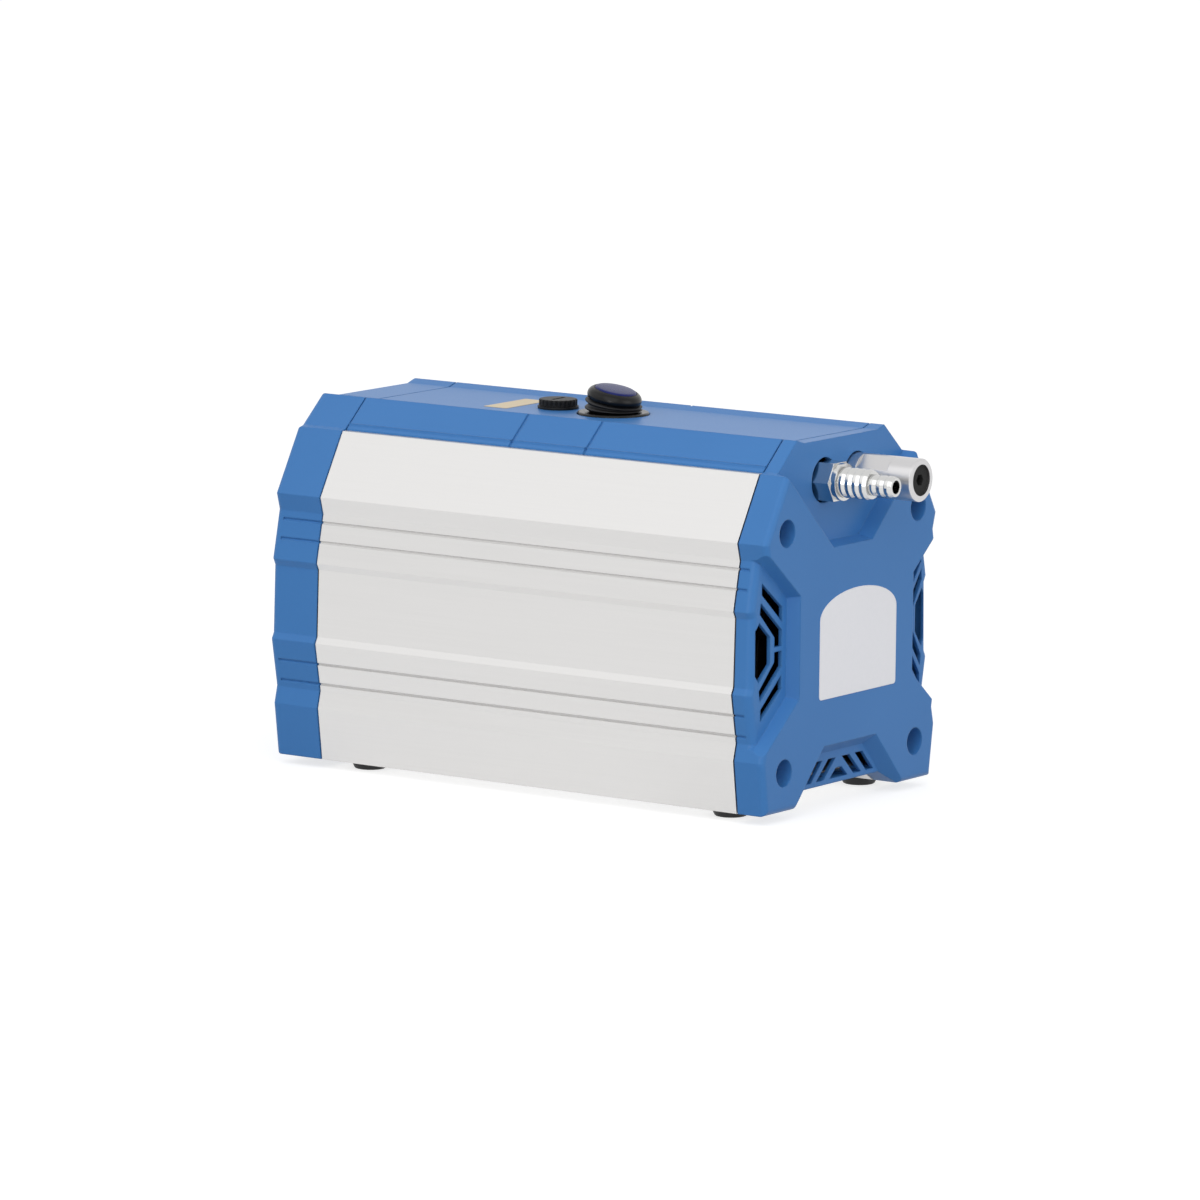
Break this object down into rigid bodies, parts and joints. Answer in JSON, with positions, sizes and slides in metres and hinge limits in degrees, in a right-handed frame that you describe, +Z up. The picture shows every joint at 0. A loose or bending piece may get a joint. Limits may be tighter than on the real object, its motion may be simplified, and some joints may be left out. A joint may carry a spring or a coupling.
{
  "type": "diaphragm vacuum pump",
  "caption": "Bench-top diaphragm vacuum pump: ribbed extruded housing, blue moulded end covers with air slots, hose nozzle, silencer, round rocker switch and fuse on top.",
  "frame": {"origin": "centre of the overall box in X and Y, at the plane that the rubber feet stand on", "axes": "+Z up; -Y is the front with the gas ports; +Y is the rear with the mains inlet; X is across"},
  "size_m": [0.121, 0.246, 0.1482],
  "materials": {
    "blue_abs": "fine grained blue moulding",
    "anodised_aluminium": "satin anodised extrusion",
    "cast_aluminium": "as cast, lightly blasted",
    "nickel": "bright nickel plate",
    "turned_aluminium": "satin turned",
    "rubber": "black rubber",
    "diaphragm_rubber": "fabric-reinforced elastomer",
    "black_plastic": "black moulding",
    "blue_lens": "dark blue translucent lens",
    "grey_plastic": "grey moulding",
    "steel": "zinc plated steel",
    "laminations": "stacked electrical steel",
    "copper": "enamelled copper wire",
    "brass_pins": "plated brass",
    "fuse_glass": "clear glass"
  },
  "bodies": {
    "housing": {"housing_profile": "anodised_aluminium", "front_cover": "blue_abs", "rear_cover": "blue_abs", "roof_panel": "blue_abs", "front_gasket": "rubber", "rear_gasket": "rubber", "front_cover_screws": "steel", "rear_cover_screws": "steel", "rubber_feet": "rubber", "foot_screws": "steel", "inlet_nozzle": "nickel", "silencer_body": "turned_aluminium", "silencer_insert": "black_plastic", "port_seals": "rubber", "switch_body": "black_plastic", "switch_boot": "rubber", "fuse_body": "black_plastic", "fuse_nut": "black_plastic", "head_cover": "cast_aluminium", "valve_plate": "cast_aluminium", "valve_discs": "diaphragm_rubber", "head_screws": "steel", "diaphragm": "diaphragm_rubber", "crankcase": "cast_aluminium", "crankcase_lid": "cast_aluminium", "lid_screws": "steel", "front_bearing": "steel", "rear_bearing": "steel", "stator_core": "laminations", "windings": "copper", "rear_shield": "cast_aluminium", "tie_bolts": "steel", "cradle": "steel", "rubber_mounts": "rubber", "mount_screws": "steel", "capacitor": "grey_plastic", "capacitor_clip": "steel", "mains_inlet": "black_plastic", "inlet_pins": "brass_pins", "inlet_screws": "steel", "terminal_block": "grey_plastic"},
    "rotor": {"motor_shaft": "steel", "rotor_core": "laminations", "eccentric": "steel", "fan_wheel": "black_plastic"},
    "rod": {"con_rod": "cast_aluminium", "rod_bearing": "steel", "clamping_disc": "cast_aluminium"},
    "rocker": {"switch_rocker": "black_plastic", "switch_lens": "blue_lens"},
    "carrier": {"fuse_carrier": "black_plastic", "glass_fuse": "fuse_glass"},
    "cap": {"fuse_cap": "black_plastic"}
  },
  "joints": [
    {"name": "rotor_spin", "type": "hinge", "parent": "housing", "child": "rotor", "pos_m": [0, -0.0409, 0.056], "axis": [0, 1, 0], "continuous": true},
    {"name": "rod_on_eccentric", "type": "hinge", "parent": "rotor", "child": "rod", "pos_m": [0, -0.0409, 0.059], "axis": [0, 1, 0], "continuous": true, "deforming": ["diaphragm"]},
    {"name": "switch_rock", "type": "hinge", "parent": "housing", "child": "rocker", "pos_m": [0, 0.009, 0.1403], "axis": [1, 0, 0], "range_deg": [-24, 0], "deforming": ["switch_boot"]},
    {"name": "fuse_pull", "type": "slide", "parent": "housing", "child": "carrier", "axis": [0, 0, 1], "range_m": [0, 0.03]},
    {"name": "fuse_cap_turn", "type": "hinge", "parent": "carrier", "child": "cap", "pos_m": [0, 0.034, 0.1363], "axis": [0, 0, 1], "range_deg": [-90, 0]}
  ],
  "couplings": [
    {"joint": "rod_on_eccentric", "follows": "rotor_spin", "ratio": -1}
  ]
}
